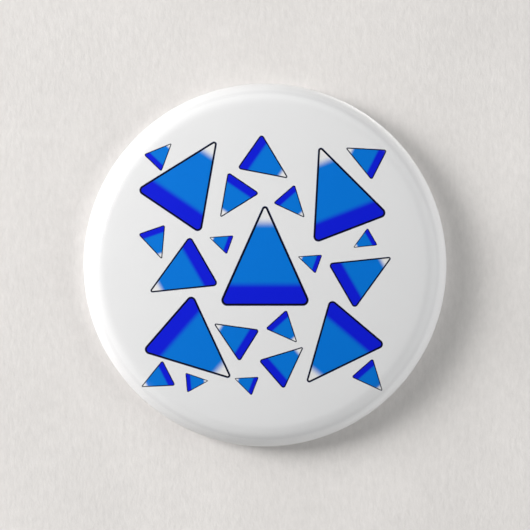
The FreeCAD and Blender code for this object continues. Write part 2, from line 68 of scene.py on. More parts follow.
import bpy
import numpy as np
from bpy.props import FloatProperty, FloatVectorProperty, IntProperty, PointerProperty
from mathutils import Vector

bl_info = {
    "name": "Button Badge Looks",
    "version": (1, 0, 0),
    "blender": (4, 5, 0),
    "location": "3D View > Sidebar > Badge",
    "description": "Builds the film, printed sheet, spring coil and finishes of a pin-back button badge",
    "category": "Object",
}

MM = 0.001
BADGE_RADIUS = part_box("clear_film")[1].x

# Each printed triangle: middle to the right and up (mm), height (mm), and the way its pale tip points,
# in degrees from the right towards the top.
PRINTED_TRIANGLES = (
    (0.0, 1.4, 15.5, 90.0),
    (11.0, 11.9, 13.6, 111.0),
    (-11.4, 13.7, 13.2, 56.0),
    (-10.4, -13.2, 13.0, -41.0),
    (10.6, -13.5, 12.3, -130.0),
    (-13.6, -1.7, 9.7, -150.0),
    (15.7, -1.1, 8.9, 30.0),
    (0.5, 15.7, 7.2, -35.0),
    (3.4, -15.0, 6.5, 41.0),
    (-5.1, 10.2, 6.4, -124.0),
    (-5.1, -10.9, 6.4, 148.0),
    (15.3, 16.9, 5.8, 153.0),
    (4.5, 9.3, 4.8, -49.0),
    (-16.9, 3.3, 4.8, -71.0),
    (3.3, -10.2, 4.8, -48.0),
    (-17.1, -17.9, 4.8, -153.0),
    (16.7, -17.8, 4.8, -49.0),
    (-16.1, 17.4, 4.2, 46.0),
    (-7.0, 3.7, 3.4, 160.0),
    (15.3, 3.6, 3.4, -150.0),
    (6.8, 0.7, 3.4, 160.0),
    (-10.6, -18.2, 3.4, 5.0),
    (-3.1, -18.3, 3.4, 159.0),
)

# A printed triangle in shares of its height: the radii at its tip and foot, the sharp triangle inside
# it whose corners are the middles of the radii, and the part of its line that grows with it.
TIP_RADIUS = 0.033
FOOT_RADIUS = 0.058
INNER_TIP = 0.467
INNER_HEIGHT = 0.909
INNER_HALF_FOOT = 0.380
LINE_SHARE = 0.0178
EDGE_BLUR = 0.003
LINE_BLUR = 0.002

# The rest of the line's width, in metres.
LINE_LEAST = 0.00007

# How far up a triangle the ink turns from base blue to sky blue, and from sky blue to white.
SKY_BAND = (0.175, 0.255)
WHITE_BAND = (0.775, 0.888)

# Ink stops where the sheet turns behind the shoulder.
PRINT_BACK = (-0.0012, -0.0013)

# Height in metres of the finest grain that a finish raises.
GRAIN = 0.00002
PLASTER_RELIEF = 0.00011

# Start of the random draws for the uneven crimps.
CRIMP_SEED = 11

# Number of faces round the film and printed sheet, and the angle past which a mesh is creased.
AROUND = 720
CREASE = math.radians(40.0)

# Strength of the light all round, and of the plain background that the camera sees.
SURROUNDINGS = 1.033
BACKGROUND_SEEN = 0.66

# Places of a Mix node's inputs: its share, then its two numbers or its two colours.
MIX_NUMBERS = (0, 2, 3)
MIX_COLOURS = (0, 6, 7)


class SkinSettings(bpy.types.PropertyGroup):
    """Sizes of the film and printed sheet that are drawn over the shell and tucked behind it."""

    face_radius: FloatProperty(
        name="Face radius", description="Radius of the domed face", default=0.16, unit="LENGTH")
    shoulder_radius: FloatProperty(
        name="Shoulder radius", description="Radius between the face and the side", default=0.00435,
        unit="LENGTH")
    side_height: FloatProperty(
        name="Side height", description="Straight part of the side", default=0.0002, unit="LENGTH")
    rim_radius: FloatProperty(
        name="Rim radius", description="Radius from the side to the flat back of the rim",
        default=0.001, unit="LENGTH")
    rim_flat: FloatProperty(
        name="Rim flat", description="Width of the flat back of the rim", default=0.0012, unit="LENGTH")
    fold_radius: FloatProperty(
        name="Fold radius", description="Radius of the fold over the shell's lip", default=0.000385,
        unit="LENGTH")
    tuck_length: FloatProperty(
        name="Tuck length", description="How far the skins run back under the lip", default=0.001,
        unit="LENGTH")
    film_thickness: FloatProperty(
        name="Film thickness", description="Thickness of the clear film", default=0.0001,
        unit="LENGTH")
    sheet_inset: FloatProperty(
        name="Sheet inset", description="Depth of the printed side under the film's face",
        default=0.00012, unit="LENGTH")
    sheet_thickness: FloatProperty(
        name="Sheet thickness", description="Thickness of the printed sheet", default=0.00012,
        unit="LENGTH")
    crimp_count: IntProperty(
        name="Crimps", description="Crimps round the tucked edge", default=84)
    crimp_depth: FloatProperty(
        name="Crimp depth", description="Depth of the deepest crimp", default=0.0001,
        unit="LENGTH")


class PrintSettings(bpy.types.PropertyGroup):
    """Colours of the printed sheet and its film."""

    paper: FloatVectorProperty(
        name="Paper", description="Bare coated paper", default=(0.776, 0.778, 0.786), size=3,
        subtype="COLOR")
    base_blue: FloatVectorProperty(
        name="Base blue", description="Band at the foot of each triangle",
        default=(0.004, 0.011, 0.655), size=3, subtype="COLOR")
    sky_blue: FloatVectorProperty(
        name="Sky blue", description="Middle of each triangle", default=(0.001, 0.17, 0.655),
        size=3, subtype="COLOR")
    line: FloatVectorProperty(
        name="Line", description="Line round each triangle", default=(0.002, 0.002, 0.012), size=3,
        subtype="COLOR")
    film_roughness: FloatProperty(
        name="Film roughness", description="Satin of the film", default=0.10, subtype="FACTOR")
    film_index: FloatProperty(
        name="Film index", description="Refractive index of the film", default=1.56)


class TinSettings(bpy.types.PropertyGroup):
    """Colours of the pressed tinplate."""

    bright: FloatVectorProperty(
        name="Bright tin", description="Clean tinplate", default=(0.70, 0.70, 0.69), size=3,
        subtype="COLOR")
    dull: FloatVectorProperty(
        name="Dull tin", description="Handled and aged tinplate", default=(0.50, 0.485, 0.46),
        size=3, subtype="COLOR")


class WireSettings(bpy.types.PropertyGroup):
    """Sizes and colours of the spring wire."""

    wire_radius: FloatProperty(
        name="Wire radius", description="Radius of the wire", default=0.00045, unit="LENGTH")
    coil_radius: FloatProperty(
        name="Coil radius", description="Radius to the middle of the wire", default=0.0022,
        unit="LENGTH")
    coil_turns: FloatProperty(name="Turns", description="Turns in the coil", default=1.5)
    coil_pitch: FloatProperty(
        name="Pitch", description="Rise in each turn", default=0.001, unit="LENGTH")
    bright: FloatVectorProperty(
        name="Bright nickel", description="Clean plating", default=(0.74, 0.72, 0.68), size=3,
        subtype="COLOR")
    dull: FloatVectorProperty(
        name="Dull nickel", description="Rubbed plating", default=(0.52, 0.50, 0.47), size=3,
        subtype="COLOR")


class StageSettings(bpy.types.PropertyGroup):
    """Backdrop, camera and lights."""

    plaster: FloatVectorProperty(
        name="Plaster", description="Backdrop colour", default=(0.692, 0.67, 0.656), size=3,
        subtype="COLOR")
    backdrop_gap: FloatProperty(
        name="Backdrop gap", description="Space behind the badge", default=0.00005, unit="LENGTH")
    view_width: FloatProperty(
        name="View width", description="Width seen at the back of the badge", default=0.0833,
        unit="LENGTH")
    camera_distance: FloatProperty(
        name="Camera distance", description="From the camera to the back of the badge",
        default=0.75, unit="LENGTH")
    key_power: FloatProperty(
        name="Key power", description="Power of the key light in watts", default=9.5)


# ---------------------------------------------------------------- meshes


def mesh_object(name, points, faces):
    """Makes an object at the origin from an array of points and a list of faces."""
    mesh = bpy.data.meshes.new(name)
    mesh.from_pydata(points.tolist(), [], faces)
    mesh.validate()
    mesh.polygons.foreach_set("use_smooth", np.ones(len(mesh.polygons), bool))
    mesh.set_sharp_from_angle(angle=CREASE)
    mesh.update()
    made = bpy.data.objects.new(name, mesh)
    bpy.context.scene.collection.objects.link(made)
    return made


def ring_faces(rings, around, first=0):
    """Quads between rings of points, each ring closed on itself, numbered ring by ring."""
    ring, step = np.meshgrid(np.arange(rings - 1), np.arange(around), indexing="ij")
    after = (step + 1) % around
    quads = np.stack(
        [ring * around + step, (ring + 1) * around + step,
         (ring + 1) * around + after, ring * around + after], axis=-1)
    return (quads.reshape(-1, 4) + first).tolist()


def fan_faces(pole, ring_start, around, facing_out):
    """Triangles between one point and a ring of points."""
    step = np.arange(around)
    near, far = ring_start + step, ring_start + (step + 1) % around
    pair = (near, far) if facing_out else (far, near)
    return np.stack([np.full(around, pole), *pair], axis=-1).tolist()


def outline(skin):
    """Half section of the badge's face, from the middle of the face to the tucked edge.

    Each stretch is a centre plus a radius times the outward normal. The centre moves evenly from
    its start to its end and the normal turns evenly from its first angle to its last, measured from
    straight ahead: an arc keeps its centre, and a straight has no radius. Returns the points as
    distance from the middle and depth, their normals, and how strongly each point is crimped.
    """
    shoulder = np.array([BADGE_RADIUS - skin.shoulder_radius, -skin.side_height - skin.rim_radius])
    reach = skin.face_radius - skin.shoulder_radius
    turn = math.asin(shoulder[0] / reach)
    face = np.array([0.0, shoulder[1] + reach * math.cos(turn)])
    side = np.array([BADGE_RADIUS, shoulder[1]])
    rim = np.array([BADGE_RADIUS - skin.rim_radius, -skin.rim_radius])
    fold = np.array([rim[0] - skin.rim_flat, -skin.fold_radius])
    tuck = fold - [0.0, skin.fold_radius]
    quarter = math.pi / 2
    # Start and end of the centre, radius, first and last angle, steps, first and last crimp.
    stretches = (
        (face, face, skin.face_radius, 0.0, turn, 12, 0.0, 0.0),
        (shoulder, shoulder, skin.shoulder_radius, turn, quarter, 16, 0.0, 0.0),
        (side, side + [0.0, skin.side_height], 0.0, quarter, quarter, 1, 0.0, 0.0),
        (rim, rim, skin.rim_radius, quarter, 2 * quarter, 9, 0.0, 0.55),
        (rim + [0.0, skin.rim_radius], fold + [0.0, skin.fold_radius], 0.0, 2 * quarter,
         2 * quarter, 8, 0.55, 1.0),
        (fold, fold, skin.fold_radius, 2 * quarter, 4 * quarter, 10, 1.0, 0.5),
        (tuck, tuck + [skin.tuck_length, 0.0], 0.0, 4 * quarter, 4 * quarter, 3, 0.5, 0.2),
    )
    points, normals, crimped = [], [], []
    for number, (start, end, radius, first, last, steps, weak, strong) in enumerate(stretches):
        share = np.linspace(0.0, 1.0, steps + 1)
        if number < len(stretches) - 1:
            share = share[:-1]
        angle = first + (last - first) * share
        normal = np.stack([np.sin(angle), -np.cos(angle)], axis=-1)
        points.append(start + (end - start) * share[:, None] + radius * normal)
        normals.append(normal)
        crimped.append(weak + (strong - weak) * share)
    return np.concatenate(points), np.concatenate(normals), np.concatenate(crimped)


def crimp_share(skin, angles):
    """How deep the rim is crimped at each angle, from nothing to all of its depth.

    A raised cosine of a phase that runs round the rim, unevenly because slow sines are added to it,
    is cubed so that the crimps are narrow, and then scaled by other slow sines so that they differ.
    """
    rng = np.random.default_rng(CRIMP_SEED)
    slow = np.arange(3, 12)
    shifts = rng.uniform(0.0, 2.0 * math.pi, (2, len(slow)))
    sizes = rng.uniform(0.2, 1.0, (2, len(slow)))
    waves = np.sin(angles[:, None, None] * slow + shifts) * sizes
    wander, heights = waves.sum(axis=2).T
    phase = skin.crimp_count * angles + 1.1 * wander
    tall = np.clip(0.75 + 0.2 * heights, 0.3, 1.0)
    return (0.5 + 0.5 * np.cos(phase)) ** 3 * tall


def skin_surface(skin, outer_inset, inner_inset, inner_crimped, around=AROUND):
    """Closed skin of revolution between two depths under the badge's face.

    A point is the outline's point less its normal times the inset, and the inset is the skin's own
    depth plus the crimp's depth there. The outline is swept round the axis: to the right by the
    cosine of the angle and up by its sine. It runs out along the outer side and back along the
    inner side, so that the skin closes at both middles.
    """
    points, normals, crimped = outline(skin)
    angles = np.arange(around) * 2.0 * math.pi / around
    crimps = skin.crimp_depth * crimped[:, None] * crimp_share(skin, angles)[None, :]
    sides = []
    for inset, share in ((outer_inset, 1.0), (inner_inset, inner_crimped)):
        depth = inset + share * crimps
        radius = points[:, :1] - normals[:, :1] * depth
        level = points[:, 1:] - normals[:, 1:] * depth
        sides.append(np.stack([radius * np.cos(angles), level, radius * np.sin(angles)], axis=-1))
    outer, inner = sides[0], sides[1][::-1]
    rings = np.concatenate([outer[1:], inner[:-1]])
    flat = np.concatenate([outer[0, :1], rings.reshape(-1, 3), inner[-1, :1]])
    faces = ring_faces(len(rings), around, first=1)
    faces += fan_faces(0, 1, around, True)
    faces += fan_faces(len(flat) - 1, 1 + (len(rings) - 1) * around, around, False)
    return flat, faces


def coil_surface(wire, bottom, rings=300, around=28):
    """Closed tube along a helix round an upright through the point given.

    The path turns from straight under the axis, clockwise as seen from the front, and rises evenly
    with the angle. Each ring of the tube lies in the plane of the axis and the path's point: the
    point, plus the wire's radius times the cosine outwards and the sine along the axis.
    """
    turned = np.linspace(0.0, 2.0 * math.pi * wire.coil_turns, rings)
    outward = np.stack([-np.sin(turned), np.zeros(rings), -np.cos(turned)], axis=-1)
    along = np.array([0.0, 1.0, 0.0])
    path = bottom + wire.coil_radius * outward
    path = path + along * (wire.coil_pitch * turned / (2.0 * math.pi))[:, None]
    section = np.arange(around) * 2.0 * math.pi / around
    tube = path[:, None] + wire.wire_radius * (
        np.cos(section)[None, :, None] * outward[:, None]
        + np.sin(section)[None, :, None] * along)
    flat = np.concatenate([tube.reshape(-1, 3), path[:1], path[-1:]])
    faces = ring_faces(rings, around)
    faces += fan_faces(rings * around, 0, around, True)
    faces += fan_faces(rings * around + 1, (rings - 1) * around, around, False)
    run = np.linalg.norm(np.diff(path, axis=0), axis=1).cumsum()
    return flat, faces, np.concatenate([[0.0], run]), section * wire.wire_radius


def backdrop_surface(gap, opening=0.0268, reach=0.17, rings=12, around=128):
    """Flat sheet behind the badge, open behind it.

    Each ring's radius is the one before times the same number, from the opening to the reach.
    """
    radius = opening * (reach / opening) ** np.linspace(0.0, 1.0, rings)[:, None]
    angle = (np.arange(around) * 2.0 * math.pi / around)[None, :]
    sheet = np.stack(
        [radius * np.cos(angle), np.full((rings, around), gap), radius * np.sin(angle)], axis=-1)
    return sheet.reshape(-1, 3), ring_faces(rings, around)


# ---------------------------------------------------------------- shader helpers


def add(tree, kind, values=None, **settings):
    """Adds a shader node with its settings and its inputs' values."""
    node = tree.nodes.new("ShaderNode" + kind)
    for key, value in settings.items():
        setattr(node, key, value)
    for key, value in (values or {}).items():
        node.inputs[key].default_value = value
    return node


def feed(tree, place, given):
    """Gives an input what it is to use: another node's output, or a value of its own."""
    if isinstance(given, bpy.types.NodeSocket):
        tree.links.new(given, place)
    else:
        place.default_value = given


def math_node(tree, operation, *inputs):
    """Adds a Math node, with a number or an output in each input, and returns its output."""
    node = add(tree, "Math", operation=operation)
    for place, given in zip(node.inputs, inputs):
        feed(tree, place, given)
    return node.outputs[0]


def vector_node(tree, operation, *inputs, output="Vector"):
    """Adds a Vector Math node, with a vector or an output in each input, and returns its output."""
    node = add(tree, "VectorMath", operation=operation)
    for place, given in zip(node.inputs, inputs):
        feed(tree, place, given)
    return node.outputs[output]


def blend_numbers(tree, share, first, second):
    """Mixes two numbers by an output's share, each an output or a number, into an output."""
    node = add(tree, "Mix", data_type="FLOAT")
    for place, given in zip(MIX_NUMBERS, (share, first, second)):
        feed(tree, node.inputs[place], given)
    return node.outputs[0]


def blend_colours(tree, share, first, second):
    """Mixes two colours by an output's share, each an output or three numbers, into an output."""
    node = add(tree, "Mix", data_type="RGBA")
    for place, given in zip(MIX_COLOURS, (share, first, second)):
        feed(tree, node.inputs[place], (*given, 1.0) if isinstance(given, tuple) else given)
    return node.outputs[2]


def spread(tree, source, low, high, to_low=0.0, to_high=1.0, smooth=False):
    """Maps one range of a value to another, held at both ends, and returns the output."""
    node = add(
        tree, "MapRange", {"From Min": low, "From Max": high, "To Min": to_low, "To Max": to_high},
        interpolation_type="SMOOTHSTEP" if smooth else "LINEAR")
    tree.links.new(source, node.inputs["Value"])
    return node.outputs[0]


def stretched_noise(tree, place, stretch, detail, rough):
    """Noise with its own spread along each axis, in repeats to the metre, and returns its output."""
    mapping = add(tree, "Mapping")
    tree.links.new(place, mapping.inputs["Vector"])
    feed(tree, mapping.inputs["Scale"], stretch)
    noise = add(tree, "TexNoise", {"Scale": 1.0, "Detail": detail, "Roughness": rough})
    tree.links.new(mapping.outputs[0], noise.inputs["Vector"])
    return noise.outputs["Fac"]


def new_group(name, inputs, outputs):
    """Starts a node group. Inputs and outputs are (name, kind) and a default where one is wanted."""
    tree = bpy.data.node_groups.new(name, "ShaderNodeTree")
    for socket_name, kind, *default in inputs:
        made = tree.interface.new_socket(
            socket_name, in_out="INPUT", socket_type="NodeSocket" + kind)
        if default:
            made.default_value = default[0]
    for socket_name, kind in outputs:
        tree.interface.new_socket(socket_name, in_out="OUTPUT", socket_type="NodeSocket" + kind)
    return tree, tree.nodes.new("NodeGroupInput"), tree.nodes.new("NodeGroupOutput")


def place_group(tree, group, values=None, links=None):
    """Adds a group to a tree with its values and its links."""
    node = add(tree, "Group", node_tree=group)
    for key, value in (values or {}).items():
        node.inputs[key].default_value = value
    for key, source in (links or {}).items():
        tree.links.new(source, node.inputs[key])
    return node


def new_material(name):
    """Starts a material with only its output, and returns it with its tree and surface input."""
    material = bpy.data.materials.new(name)
    material.use_nodes = True
    tree = material.node_tree
    tree.nodes.clear()
    end = tree.nodes.new("ShaderNodeOutputMaterial")
    return material, tree, end.inputs["Surface"]


def object_place(tree):
    """The Object coordinates of a piece."""
    return add(tree, "TexCoord").outputs["Object"]


def bumped(tree, height, strength, distance):
    """Bump from a height, and returns its normal."""
    bump = add(tree, "Bump", {"Strength": strength, "Distance": distance})
    tree.links.new(height, bump.inputs["Height"])
    return bump.outputs["Normal"]


# ---------------------------------------------------------------- shared effects


def triangle_group():
    """One printed triangle, added to the print so far.

    The place is moved, turned and scaled so that the triangle is one unit high about its middle, and
    folded about its upright. A smaller sharp triangle lies inside it. The printed edge is where the
    distance to that triangle's side or foot, nothing inside it, is the corner radius, which grows
    evenly from the tip to the foot. The print is a vector: how inked the place is, how far up the
    triangle it is, and how much line is there.
    """
    tree, begin, end = new_group(
        "Printed Triangle",
        (("Place", "Vector"), ("Middle", "Vector"), ("Height", "Float", 0.01),
         ("Turn", "Float", 0.0), ("So Far", "Vector")),
        (("Print", "Vector"),))
    links = tree.links
    turn = add(tree, "CombineXYZ")
    links.new(begin.outputs["Turn"], turn.inputs["Z"])
    scale = add(tree, "CombineXYZ")
    for axis in "XYZ":
        links.new(begin.outputs["Height"], scale.inputs[axis])
    local = add(tree, "Mapping", vector_type="TEXTURE")
    links.new(begin.outputs["Place"], local.inputs["Vector"])
    links.new(begin.outputs["Middle"], local.inputs["Location"])
    links.new(turn.outputs[0], local.inputs["Rotation"])
    links.new(scale.outputs[0], local.inputs["Scale"])
    parts = add(tree, "SeparateXYZ")
    links.new(local.outputs[0], parts.inputs[0])
    folded = add(tree, "CombineXYZ")
    links.new(math_node(tree, "ABSOLUTE", parts.outputs["Y"]), folded.inputs["X"])
    links.new(
        math_node(tree, "SUBTRACT", INNER_TIP, parts.outputs["X"]), folded.inputs["Y"])
    place = folded.outputs[0]
    corner = (INNER_HALF_FOOT, INNER_HEIGHT, 0.0)
    side_square = INNER_HALF_FOOT ** 2 + INNER_HEIGHT ** 2
    along = vector_node(tree, "DOT_PRODUCT", place, corner, output="Value")
    along = math_node(tree, "MULTIPLY", along, 1.0 / side_square)
    along.node.use_clamp = True
    nearest = add(tree, "VectorMath", {0: corner}, operation="SCALE")
    links.new(along, nearest.inputs["Scale"])
    to_side = vector_node(
        tree, "LENGTH", vector_node(tree, "SUBTRACT", place, nearest.outputs[0]), output="Value")
    below = vector_node(tree, "SUBTRACT", place, corner)
    beside = vector_node(tree, "MAXIMUM", below, (0.0, -100.0, 0.0))
    to_foot = vector_node(tree, "LENGTH", beside, output="Value")
    past_side = vector_node(
        tree, "DOT_PRODUCT", place, (INNER_HEIGHT, -INNER_HALF_FOOT, 0.0), output="Value")
    past_foot = vector_node(tree, "DOT_PRODUCT", below, (0.0, 1.0, 0.0), output="Value")
    outside = math_node(
        tree, "GREATER_THAN", math_node(tree, "MAXIMUM", past_side, past_foot), 0.0)
    side_radius = math_node(tree, "MULTIPLY_ADD", along, FOOT_RADIUS - TIP_RADIUS, TIP_RADIUS)
    side_edge = math_node(
        tree, "SUBTRACT", math_node(tree, "MULTIPLY", to_side, outside), side_radius)
    foot_edge = math_node(
        tree, "SUBTRACT", math_node(tree, "MULTIPLY", to_foot, outside), FOOT_RADIUS)
    edge = math_node(tree, "MINIMUM", side_edge, foot_edge)
    inked = spread(tree, edge, EDGE_BLUR, -EDGE_BLUR)
    width = math_node(tree, "DIVIDE", LINE_LEAST, begin.outputs["Height"])
    in_line = math_node(tree, "ADD", edge, math_node(tree, "ADD", width, LINE_SHARE))
    line = spread(tree, in_line, -LINE_BLUR, LINE_BLUR)
    height = math_node(tree, "ADD", parts.outputs["X"], 0.5)
    joined = add(tree, "CombineXYZ")
    links.new(inked, joined.inputs["X"])
    links.new(math_node(tree, "MULTIPLY", height, inked), joined.inputs["Y"])
    links.new(math_node(tree, "MULTIPLY", line, inked), joined.inputs["Z"])
    most = vector_node(tree, "MAXIMUM", joined.outputs[0], begin.outputs["So Far"])
    links.new(most, end.inputs["Print"])
    return tree


def scratch_group():
    """Fine scratches: thin bands where a stretched noise crosses its middle, broken up by patches."""
    existing = bpy.data.node_groups.get("Fine Scratches")
    if existing:
        return existing
    tree, begin, end = new_group(
        "Fine Scratches",
        (("Place", "Vector"), ("Stretch", "Vector", (400.0, 400.0, 400.0)),
         ("Thinness", "Float", 0.02)),
        (("Scratches", "Float"),))
    place = begin.outputs["Place"]
    noise = stretched_noise(tree, place, begin.outputs["Stretch"], detail=1.5, rough=0.5)
    off = math_node(tree, "ABSOLUTE", math_node(tree, "SUBTRACT", noise, 0.5))
    share = math_node(tree, "DIVIDE", off, begin.outputs["Thinness"])
    thin = math_node(tree, "SUBTRACT", 1.0, share)
    thin = math_node(tree, "MAXIMUM", thin, 0.0)
    patches = stretched_noise(tree, place, (260.0, 260.0, 260.0), detail=2.0, rough=0.5)
    patches = spread(tree, patches, 0.5, 0.62)
    result = math_node(tree, "MULTIPLY", thin, patches)
    tree.links.new(result, end.inputs["Scratches"])
    return tree


def worked_metal_group():
    """Drawn or rolled metal: fine lines along one way, dull patches, and scratches.

    The lines are noise stretched along the metal. The patches are broad noise. Dull metal is rougher
    and darker, and the lines and scratches give the height.
    """
    existing = bpy.data.node_groups.get("Worked Metal")
    if existing:
        return existing
    tree, begin, end = new_group(
        "Worked Metal",
        (("Place", "Vector"), ("Lines", "Vector", (100.0, 4000.0, 4000.0)),
         ("Scratch Stretch", "Vector", (120.0, 500.0, 900.0)), ("Patches", "Float", 160.0),
         ("Bright", "Color"), ("Dull", "Color"), ("Smooth", "Float", 0.2),
         ("Rough", "Float", 0.4)),
        (("Colour", "Color"), ("Roughness", "Float"), ("Height", "Float")))
    links = tree.links
    place = begin.outputs["Place"]
    lines = stretched_noise(tree, place, begin.outputs["Lines"], detail=4.0, rough=0.65)
    patches = add(tree, "TexNoise", {"Detail": 4.0, "Roughness": 0.62})
    links.new(place, patches.inputs["Vector"])
    links.new(begin.outputs["Patches"], patches.inputs["Scale"])
    dull = spread(tree, patches.outputs["Fac"], 0.46, 0.80, smooth=True)
    scratches = place_group(
        tree, scratch_group(), {"Thinness": 0.012},
        {"Place": place, "Stretch": begin.outputs["Scratch Stretch"]}).outputs["Scratches"]
    mark = math_node(tree, "MULTIPLY_ADD", lines, 0.5, math_node(tree, "MULTIPLY", dull, 0.75))
    mark = math_node(tree, "SUBTRACT", mark, 0.15)
    mark = spread(tree, mark, 0.0, 1.0)
    colour = blend_colours(tree, mark, begin.outputs["Bright"], begin.outputs["Dull"])
    links.new(colour, end.inputs["Colour"])
    rough = blend_numbers(tree, mark, begin.outputs["Smooth"], begin.outputs["Rough"])
    scuffed = math_node(tree, "MULTIPLY_ADD", scratches, 0.15, rough)
    links.new(scuffed, end.inputs["Roughness"])
    height = math_node(tree, "MULTIPLY_ADD", scratches, -0.8, lines)
    links.new(height, end.inputs["Height"])
    return tree


# ---------------------------------------------------------------- finishes


def printed_finish(look):
    """Coated white paper with blue triangles, each graded from a deep foot to a white tip."""
    material, tree, surface = new_material("printed_coated_paper")
    links = tree.links
    place = object_place(tree)
    parts = add(tree, "SeparateXYZ")
    links.new(place, parts.inputs[0])
    flat = add(tree, "CombineXYZ")
    links.new(parts.outputs["X"], flat.inputs["X"])
    links.new(parts.outputs["Z"], flat.inputs["Y"])
    group = triangle_group()
    so_far = None
    for right, up, height, turn in PRINTED_TRIANGLES:
        node = place_group(
            tree, group,
            {"Middle": (right * MM, up * MM, 0.0), "Height": height * MM,
             "Turn": math.radians(turn)},
            {"Place": flat.outputs[0]})
        if so_far is not None:
            links.new(so_far, node.inputs["So Far"])
        so_far = node.outputs["Print"]
    printed = add(tree, "SeparateXYZ")
    links.new(so_far, printed.inputs[0])
    front = spread(tree, parts.outputs["Y"], *PRINT_BACK)
    inked = math_node(tree, "MULTIPLY", printed.outputs["X"], front)
    line = math_node(tree, "MULTIPLY", printed.outputs["Z"], front)
    fibre = stretched_noise(tree, place, (5200.0, 5200.0, 5200.0), detail=3.0, rough=0.6)
    cloud = stretched_noise(tree, place, (90.0, 90.0, 90.0), detail=2.0, rough=0.5)
    mottle = math_node(tree, "MULTIPLY_ADD", fibre, 0.6, math_node(tree, "MULTIPLY", cloud, 0.4))
    mottle = spread(tree, mottle, 0.35, 0.65)
    paper = blend_colours(tree, mottle, shaded(look.paper, 0.972), tuple(look.paper))
    to_sky = spread(tree, printed.outputs["Y"], *SKY_BAND, smooth=True)
    to_white = spread(tree, printed.outputs["Y"], *WHITE_BAND, smooth=True)
    ink = blend_colours(tree, to_sky, tuple(look.base_blue), tuple(look.sky_blue))
    ink = blend_colours(tree, to_white, ink, paper)
    colour = blend_colours(tree, inked, paper, ink)
    colour = blend_colours(tree, line, colour, tuple(look.line))
    shader = add(tree, "BsdfPrincipled", {"Specular IOR Level": 0.08})
    links.new(colour, shader.inputs["Base Color"])
    links.new(spread(tree, fibre, 0.3, 0.7, 0.5, 0.62), shader.inputs["Roughness"])
    links.new(bumped(tree, fibre, 0.06, GRAIN), shader.inputs["Normal"])
    links.new(shader.outputs[0], surface)
    return material


def film_finish(look):
    """Clear satin film: what is behind shows through, with a soft gloss that grows at a slant."""
    material, tree, surface = new_material("clear_satin_film")
    links = tree.links
    place = object_place(tree)
    grain = stretched_noise(tree, place, (2600.0, 2600.0, 2600.0), detail=3.0, rough=0.55)
    scratches = place_group(
        tree, scratch_group(), {"Stretch": (90.0, 300.0, 620.0), "Thinness": 0.006},
        {"Place": place}).outputs["Scratches"]
    low, high = look.film_roughness - 0.02, look.film_roughness + 0.03
    rough = math_node(
        tree, "MULTIPLY_ADD", scratches, 0.12, spread(tree, grain, 0.3, 0.7, low, high))
    height = math_node(tree, "MULTIPLY_ADD", scratches, -0.5, grain)
    normal = bumped(tree, height, 0.015, GRAIN)
    gloss = add(tree, "BsdfGlossy", {"Color": (1.0, 1.0, 1.0, 1.0)})
    links.new(rough, gloss.inputs["Roughness"])
    links.new(normal, gloss.inputs["Normal"])
    clear = add(tree, "BsdfTransparent", {"Color": (0.985, 0.985, 0.985, 1.0)})
    slant = add(tree, "Fresnel", {"IOR": look.film_index})
    side = add(tree, "NewGeometry")
    facing = math_node(tree, "SUBTRACT", 1.0, side.outputs["Backfacing"])
    share = math_node(tree, "MULTIPLY", slant.outputs[0], facing)
    mixed = add(tree, "MixShader")
    links.new(share, mixed.inputs[0])
    links.new(clear.outputs[0], mixed.inputs[1])
    links.new(gloss.outputs[0], mixed.inputs[2])
    links.new(mixed.outputs[0], surface)
    return material


def metal_finish(name, look, lines, scratches, patches, smooth, rough, bump, place="Object"):
    """Worked metal with its own lines, patches and roughness, on Object coordinates or a UV map."""
    material, tree, surface = new_material(name)
    where = add(tree, "TexCoord").outputs[place]
    worked = place_group(
        tree, worked_metal_group(),
        {"Lines": lines, "Scratch Stretch": scratches, "Patches": patches,
         "Bright": (*look.bright, 1.0), "Dull": (*look.dull, 1.0), "Smooth": smooth,
         "Rough": rough},
        {"Place": where})
    shader = add(tree, "BsdfPrincipled", {"Metallic": 1.0})
    tree.links.new(worked.outputs["Colour"], shader.inputs["Base Color"])
    tree.links.new(worked.outputs["Roughness"], shader.inputs["Roughness"])
    normal = bumped(tree, worked.outputs["Height"], bump, GRAIN)
    tree.links.new(normal, shader.inputs["Normal"])
    tree.links.new(shader.outputs[0], surface)
    return material


def plaster_finish(colour):
    """Pale plaster drawn up and down with a trowel, seen from its front only."""
    material, tree, surface = new_material("pale_plaster")
    links = tree.links
    place = object_place(tree)
    streaks = stretched_noise(tree, place, (1300.0, 1.0, 560.0), detail=5.0, rough=0.66)
    cloud = stretched_noise(tree, place, (45.0, 1.0, 30.0), detail=4.0, rough=0.6)
    pits = stretched_noise(tree, place, (1500.0, 1.0, 1100.0), detail=3.0, rough=0.6)
    tone = math_node(tree, "MULTIPLY_ADD", streaks, 0.55, math_node(tree, "MULTIPLY", cloud, 0.45))
    tone = spread(tree, tone, 0.34, 0.66)
    dark, light = shaded(colour, 0.905), shaded(colour, 1.06)
    shader = add(tree, "BsdfPrincipled", {"Specular IOR Level": 0.25})
    links.new(blend_colours(tree, tone, dark, light), shader.inputs["Base Color"])
    links.new(spread(tree, pits, 0.3, 0.7, 0.7, 0.85), shader.inputs["Roughness"])
    height = math_node(tree, "MULTIPLY_ADD", pits, 0.8, streaks)
    links.new(bumped(tree, height, 0.45, PLASTER_RELIEF), shader.inputs["Normal"])
    clear = add(tree, "BsdfTransparent")
    side = add(tree, "NewGeometry")
    mixed = add(tree, "MixShader")
    links.new(side.outputs["Backfacing"], mixed.inputs[0])
    links.new(shader.outputs[0], mixed.inputs[1])
    links.new(clear.outputs[0], mixed.inputs[2])
    links.new(mixed.outputs[0], surface)
    return material


def shaded(colour, share):
    """A colour made darker or lighter by a share."""
    return tuple(share * value for value in colour)


def wear(piece, material):
    """Puts one material on a piece, in every slot it has."""
    if not piece.data.materials:
        piece.data.materials.append(material)
    for place in piece.material_slots:
        place.material = material


